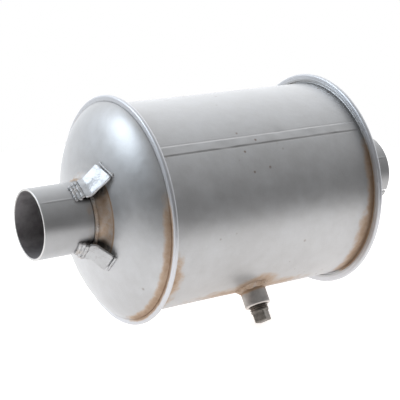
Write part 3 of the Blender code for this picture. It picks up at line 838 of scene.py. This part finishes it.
def make_gusset(index, material):
    """A bent strap with rounded corners and edges, a little dented by hand."""
    clock = PORT_CLOCK + GUSSET_CLOCKS[index]
    line = gusset_line(GUSSET_FOOT_RADII[index])
    near = 1 if index == 0 else -1
    lengths = [0.0]
    for a, b in zip(line, line[1:]):
        lengths.append(lengths[-1] + (b - a).length)
    corner, columns = GUSSET_CORNER, 16
    verts = []
    for side in (1, -1):
        for i, point in enumerate(line):
            ahead = line[min(i + 1, len(line) - 1)] - line[max(i - 1, 0)]
            normal = Vector((ahead.y, -ahead.x)).normalized() * -1
            if normal.x < 0:
                normal = -normal
            from_end = min(lengths[i], lengths[-1] - lengths[i])
            cut = corner - math.sqrt(corner ** 2 - max(corner - from_end, 0) ** 2)
            down = smooth(lengths[i], 0.005, lengths[-1])
            width = GUSSET_WIDTH + (GUSSET_FOOT_WIDTH - GUSSET_WIDTH) * down
            for j in range(columns + 1):
                share = 2 * j / columns - 1
                across = (width / 2 - cut) * share
                bow = noise.noise(Vector((across * 160, lengths[i] * 130, index * 3.1))) * 0.00045
                bow -= 0.0006 * share ** 2 * smooth(0.012 - lengths[i], 0.0, 0.008)
                twist = Vector((1.0, -0.35)) * (GUSSET_TWISTS[index] * near * share * down)
                place_on = point + normal * (side * GUSSET_SHEET / 2 + bow) + twist
                verts.append(gusset_point(clock, place_on.x, across, place_on.y))
    rows, width = len(line), columns + 1
    faces, half = [], rows * width
    for side in (0, half):
        for i in range(rows - 1):
            for j in range(columns):
                a = side + i * width + j
                faces.append((a, a + 1, a + width + 1, a + width))
    for i in range(rows - 1):
        for j in (0, columns):
            a = i * width + j
            faces.append((a, a + width, a + width + half, a + half))
    for i in (0, rows - 1):
        for j in range(columns):
            a = i * width + j
            faces.append((a, a + 1, a + 1 + half, a + half))
    strap = new_piece(f"gusset_{index + 1}_fine", verts, faces)
    bevel = strap.modifiers.new("edges", "BEVEL")
    bevel.width = 0.00035
    bevel.segments = 2
    bevel.limit_method = "ANGLE"
    bevel.angle_limit = math.radians(50)
    apply_modifiers(strap, 40)
    finish_piece(strap, material, "pipe_paint", "muffler", f"gusset_{index + 1}")


def bead_parts(path, up, radius, pitch, seed):
    """Points and faces of a weld bead laid along a path: overlapping ripples and rounded ends."""
    sides, verts, travelled = 12, [], 0.0
    count = len(path)
    total = sum((b - a).length for a, b in zip(path, path[1:]))
    for i, point in enumerate(path):
        if i:
            travelled += (point - path[i - 1]).length
        along = (path[min(i + 1, count - 1)] - path[max(i - 1, 0)]).normalized()
        out = (up - along * up.dot(along)).normalized()
        side = along.cross(out)
        end = min(travelled, total - travelled) / (radius * 0.9)
        rounding = math.sqrt(max(1 - max(1 - end, 0) ** 2, 0.0009))
        ripple = (travelled / pitch) % 1.0
        size = radius * rounding * (0.93 + 0.09 * ripple ** 0.7)
        size *= 1 + 0.28 * noise.noise(Vector((travelled * 260, seed, 0.5)))
        for k in range(sides):
            turn = 2 * math.pi * k / sides
            verts.append(point + out * (size * math.cos(turn)) + side * (size * 1.15 * math.sin(turn)))
    faces = loop_faces(count, sides, close_rows=False)
    faces.append(tuple(range(sides)))
    faces.append(tuple((count - 1) * sides + k for k in range(sides)))
    return verts, faces


def weld_piece(node, beads, material):
    """One piece of several beads, in the place of a CAD bead."""
    verts, faces = [], []
    for bead_verts, bead_faces in beads:
        faces += [tuple(i + len(verts) for i in face) for face in bead_faces]
        verts += bead_verts
    weld = new_piece(f"{node}_fine", verts, faces, sharp=75)
    finish_piece(weld, material, "weld_metal", "muffler", node)


def make_gusset_welds(index, material):
    """Three overlapping runs from the strap's end down to the pipe, and a thin run along its foot."""
    clock = PORT_CLOCK + GUSSET_CLOCKS[index]
    steps = 60
    outwards = gusset_point(clock, 1, 0, 0) - gusset_point(clock, 0, 0, 0)
    beads = []
    for run, (height, lift, half) in enumerate(PIPE_BEAD_RUNS):
        path = []
        for i in range(steps + 1):
            angle = math.radians(half * (2 * i / steps - 1))
            flat = (INLET_RADIUS + lift) * (1 + (1 / math.cos(angle) - 1) * (1 - run / 2))
            wander = 0.0004 * noise.noise(Vector((i * 0.15, index * 4.0 + run, height * 900)))
            path.append(gusset_point(clock, flat * math.cos(angle), flat * math.sin(angle), height + wander))
        beads.append(bead_parts(path, outwards, 0.00135, 0.0019, index + run * 1.7))
    weld_piece(f"gusset_pipe_weld_{index + 1}", beads, material)

    path = []
    foot = GUSSET_FOOT_RADII[index]
    near = 1 if index == 0 else -1
    for i in range(steps + 1):
        share = 2 * i / steps - 1
        across = GUSSET_FOOT_WIDTH * 0.49 * share
        radius = foot + 0.0011 + GUSSET_TWISTS[index] * near * share
        height = dome_height(math.hypot(radius, across)) + 0.0004
        path.append(gusset_point(clock, radius, across, height))
    beads = [bead_parts(path, outwards, 0.00095, 0.0016, index + 9.0)]
    weld_piece(f"gusset_head_weld_{index + 1}", beads, material)


# ---------------- port

BOSS_RADIUS = 0.009525
BOSS_FACE = SHELL_RADIUS + BOSS_HEIGHT
PORT_SIDE = PORT_AXIS.cross(Vector((1, 0, 0))).normalized()
THREAD_PITCH = 0.0254 / 18
THREAD_TURNS = 10
THREAD_CREST = 0.00685  # radius of the plug's thread at the boss's face
THREAD_DEPTH = 0.0009
THREAD_TAPER = 32  # length over which the thread's radius grows by 1
THREAD_TOP = BOSS_FACE + 0.0049
HEAD_TOP = THREAD_TOP + 0.0073
HEAD_WIDTH = 0.009525
HEAD_TURN = math.radians(33.0)


def port_base():
    """The point on the muffler's axis that the port's axis runs through."""
    return PORT_POINT - PORT_AXIS * BOSS_FACE


def port_place(radius, turn, height):
    """A point about the port's axis; height is measured from the muffler's axis."""
    flat = Vector((1, 0, 0)) * math.cos(turn) + PORT_SIDE * -math.sin(turn)
    return port_base() + flat * radius + PORT_AXIS * height


def saddle(radius, turn, gap=0.0):
    """Height at which the shell's surface meets a cylinder about the port's axis."""
    across = radius * math.sin(turn)
    return math.sqrt((SHELL_RADIUS + gap) ** 2 - across * across)


def thread_wave(height, turn):
    """0 at the root and 1 at the crest of a right-hand thread."""
    phase = (height / THREAD_PITCH - turn / (2 * math.pi)) % 1.0
    return min(max(1.25 - abs(phase - 0.5) * 2.9, 0.0), 1.0)


def make_boss(material):
    """The coupling: chamfered outside, threaded inside, its foot shaped to the shell."""
    steps, threads = 120, 70
    verts, rows = [], 0
    for i in range(steps):
        turn = 2 * math.pi * i / steps
        foot = saddle(BOSS_RADIUS, turn, 0.0001)
        inner_foot = saddle(BOSS_BORE, turn, 0.0001)
        face = BOSS_FACE
        ring = [(BOSS_RADIUS, foot + (face - 0.0007 - foot) * k / 10) for k in range(11)]
        ring += [(BOSS_RADIUS - 0.00020, face - 0.00030), (BOSS_RADIUS - 0.00060, face - 0.00005),
                 (BOSS_RADIUS - 0.0010, face), (0.0080, face), (0.0076, face - 0.0005)]
        for k in range(threads):
            height = face - 0.0006 - (face - 0.0006 - inner_foot) * k / (threads - 1)
            ring.append((0.00765 - 0.00040 * thread_wave(height, turn), height))
        rows = len(ring)
        verts += [port_place(r, turn, h) for r, h in ring]
    boss = new_piece("port_boss_fine", verts, loop_faces(steps, rows), sharp=40)
    finish_piece(boss, material, "pipe_paint", "muffler", "port_boss")


def make_boss_weld(material):
    """The rippled fillet round the boss's foot."""
    steps, verts, rows = 288, [], 0
    for i in range(steps):
        turn = 2 * math.pi * i / steps
        ripple = (i / steps * 30 + 1.2 * noise.noise(Vector((i * 0.05, 3.0, 1.0)))) % 1.0
        swell = 0.92 + 0.09 * ripple ** 0.7 + 0.35 * round_noise(turn, 2, 4.0)
        section = [(0.0001, -0.0003), (0.0001, 0.0030 * swell), (0.0008, 0.0027 * swell),
                   (0.0016, 0.0018 * swell), (0.0025, 0.0010 * swell), (0.0032 * swell, 0.0004),
                   (0.0035 * swell, -0.0001), (0.0034 * swell, -0.0003)]
        for out, up in section:
            radius = BOSS_RADIUS + out
            verts.append(port_place(radius, turn, saddle(radius, turn) + up))
        rows = len(section)
    weld = new_piece("port_boss_weld_fine", verts, loop_faces(steps, rows), sharp=70)
    finish_piece(weld, material, "weld_metal", "muffler", "port_boss_weld")


def square_radius(turn):
    """Radius of the plug's square head, which has small round corners."""
    power = 16
    c, s = abs(math.cos(turn - HEAD_TURN)), abs(math.sin(turn - HEAD_TURN))
    return HEAD_WIDTH / 2 / (c ** power + s ** power) ** (1 / power)


def make_plug(material):
    """A taper-threaded plug with a collar and a square head."""
    steps, verts, rows = 144, [], 0
    bottom = THREAD_TOP - THREAD_TURNS * THREAD_PITCH
    collar = THREAD_TOP - 0.0015
    per_turn = 12
    count = int((collar - 0.0003 - bottom) / THREAD_PITCH * per_turn)
    for i in range(steps):
        turn = 2 * math.pi * i / steps
        ring = [(0.0001, bottom), (0.0045, bottom)]
        for k in range(count + 1):
            height = bottom + 0.0002 + (collar - bottom - 0.0004) * k / count
            crest = THREAD_CREST + (height - BOSS_FACE) / THREAD_TAPER
            lead = smooth(height, bottom, bottom + 0.0012) * 0.5 + 0.5
            root = THREAD_DEPTH * (1 - thread_wave(height, turn) * lead)
            ring.append((crest - root, height))
        ring += [(0.0063, collar), (0.0067, collar + 0.0002), (0.0067, THREAD_TOP - 0.0003),
                 (0.0064, THREAD_TOP)]
        square = square_radius(turn)
        ring += [(min(square + 0.0003, 0.0063), THREAD_TOP + 0.00005), (square, THREAD_TOP + 0.0004)]
        side = HEAD_TOP - 0.0009 - THREAD_TOP
        ring += [(square, THREAD_TOP + 0.0004 + side * k / 6) for k in range(1, 7)]
        ring += [(square - 0.00022, HEAD_TOP - 0.00022), (square - 0.0007, HEAD_TOP),
                 (square * 0.5, HEAD_TOP), (0.0001, HEAD_TOP)]
        rows = len(ring)
        verts += [port_place(r, turn, h) for r, h in ring]
    faces = loop_faces(steps, rows, close_columns=False)
    faces += [tuple(i * rows for i in range(steps)), tuple(i * rows + rows - 1 for i in range(steps))]
    plug = new_piece("port_plug_fine", verts, faces, sharp=38)
    finish_piece(plug, material, "plug_steel", "plug", "port_plug")


# ---------------- camera, light and floor

CAMERA_PLACE = Vector((-0.4788, -0.6975, 0.3662))
CAMERA_TARGET = Vector((-0.0120, -0.0002, 0.0808))
CAMERA_ROLL = math.radians(2.69)
CAMERA_LENS = 106.14
CAMERA_SENSOR = 36.0
DARK_SIDE = Vector((-0.555, -0.825, 0.08)).normalized()  # towards the unlit end of the studio
# Place along the way from the lit end to the unlit one, from 0 to 1, and the light there
STUDIO_LIGHT = ((0.0, 1.90), (0.07, 1.55), (0.15, 1.18), (0.28, 0.95), (0.40, 0.66), (0.50, 0.37),
                (0.58, 0.19), (0.66, 0.08), (0.80, 0.03), (1.0, 0.02))
SKY_LIGHT = {"From Min": 0.10, "From Max": 0.70, "To Min": 0.0, "To Max": 0.34}  # by height
SOFTBOX = {"place_at": (-1.22, 0.86, 0.92), "target": (-0.1, 0, 0.1), "size": (0.80, 0.80), "energy": 11.0,
           "color": (0.80, 0.90, 1.0)}
FLOOR_HALF = 0.42
FLOOR_DROP = 0.0002
FLOOR_GLOW = (1.0, 0.966, 0.942)
FLOOR_GLOW_STRENGTH = 0.82


def make_camera():
    """The camera, turned a little about its own line of sight."""
    data = bpy.data.cameras.new("camera")
    data.lens = CAMERA_LENS
    data.sensor_width = CAMERA_SENSOR
    data.clip_start = 0.01
    data.clip_end = 50.0
    camera = add_object("camera", data)
    look = (CAMERA_TARGET - CAMERA_PLACE).to_track_quat("-Z", "Y").to_matrix().to_4x4()
    camera.matrix_world = Matrix.Translation(CAMERA_PLACE) @ look @ Matrix.Rotation(CAMERA_ROLL, 4, "Z")
    bpy.context.scene.camera = camera


def make_world():
    """A pale studio that is dark towards one end."""
    world = bpy.data.worlds.new("studio")
    bpy.context.scene.world = world
    net = Nodes(world, "Generated")
    towards = net.node("ShaderNodeVectorMath", {0: net.coordinates, 1: DARK_SIDE}, operation="DOT_PRODUCT")
    share = net.math("MULTIPLY_ADD", towards.outputs["Value"], 0.5, 0.5)
    ramp = net.node("ShaderNodeValToRGB", {0: share})
    elements = ramp.color_ramp.elements
    while len(elements) < len(STUDIO_LIGHT):
        elements.new(0.5)
    for element, (position, light) in zip(elements, STUDIO_LIGHT):
        element.position = position
        element.color = (light * 0.985, light, light * 1.02, 1.0)
    sockets = {"Value": net.split()[2], **SKY_LIGHT}
    sky = net.node("ShaderNodeMapRange", sockets, interpolation_type="SMOOTHSTEP")
    lit = net.node("ShaderNodeVectorMath", {0: ramp.outputs[0], 1: sky.outputs[0]}, operation="ADD")
    seen = net.node("ShaderNodeLightPath", {}).outputs["Is Camera Ray"]
    background = net.tree.nodes["Background"].inputs
    net.feed(background["Color"], net.mix(seen, lit.outputs[0], (1.0, 1.0, 1.0)))
    background["Strength"].default_value = 1.0


def add_softbox(name, place_at, target, size, energy, color):
    """An area light that points at a target."""
    data = bpy.data.lights.new(name, "AREA")
    data.shape = "RECTANGLE"
    data.size, data.size_y = size
    data.energy = energy
    data.color = color
    light = add_object(name, data)
    light.location = place_at
    light.rotation_euler = (Vector(target) - Vector(place_at)).to_track_quat("-Z", "Y").to_euler()


def make_floor():
    """A pale floor that glows a little, just under the rims."""
    work = bmesh.new()
    bmesh.ops.create_grid(work, x_segments=4, y_segments=4, size=FLOOR_HALF)
    floor = mesh_object("floor", work)
    floor.location.z = -FLOOR_DROP
    net = Net("pale_floor")
    net.feed(net.shader.inputs["Emission Color"], FLOOR_GLOW)
    net.feed(net.shader.inputs["Emission Strength"], FLOOR_GLOW_STRENGTH)
    paint(floor, net.finish((0.80, 0.80, 0.80), 0.8, 0.0))


INNER_NODES = ("front_baffle", "rear_baffle", "transfer_tube", "inlet_pipe_cup", "outlet_pipe_cup")


def main():
    make_camera()
    make_world()
    add_softbox("side_softbox", **SOFTBOX)
    make_floor()

    make_shell(shell_paint())
    bead_paint = weld_paint("neck_weld_paint", 0.40)
    for head, pipe, plane, out, radius in (("front_head", "inlet", FRONT_X, -1, INLET_RADIUS),
                                           ("rear_head", "outlet", REAR_X, 1, OUTLET_RADIUS)):
        make_head(head, plane, out, radius, head_paint(f"{head}_paint", plane, out))
        make_neck_weld(f"{pipe}_neck_weld", radius, plane, out, bead_paint)
    make_pipes()
    # plain paint, and paint with a painted highlight for the upper gusset, index 1
    strap_paints = (gusset_paint("plain_gusset_paint", 0.0), gusset_paint("gusset_paint_painted_highlight", 0.60))
    strap_weld = weld_paint("gusset_weld_paint", 0.12)
    for index in range(len(GUSSET_CLOCKS)):
        make_gusset(index, strap_paints[index == 1])
        make_gusset_welds(index, strap_weld)
    make_boss(boss_steel())
    make_boss_weld(weld_paint("boss_weld_paint", 0.55))
    make_plug(plug_steel())

    inside = bare_steel()
    for name, node in frame["nodes"].items():
        if name.startswith(INNER_NODES):
            paint(node, inside)
    paint(frame["nodes"]["thread_seal"], compound())
    bpy.context.scene.view_settings.view_transform = "Standard"


main()
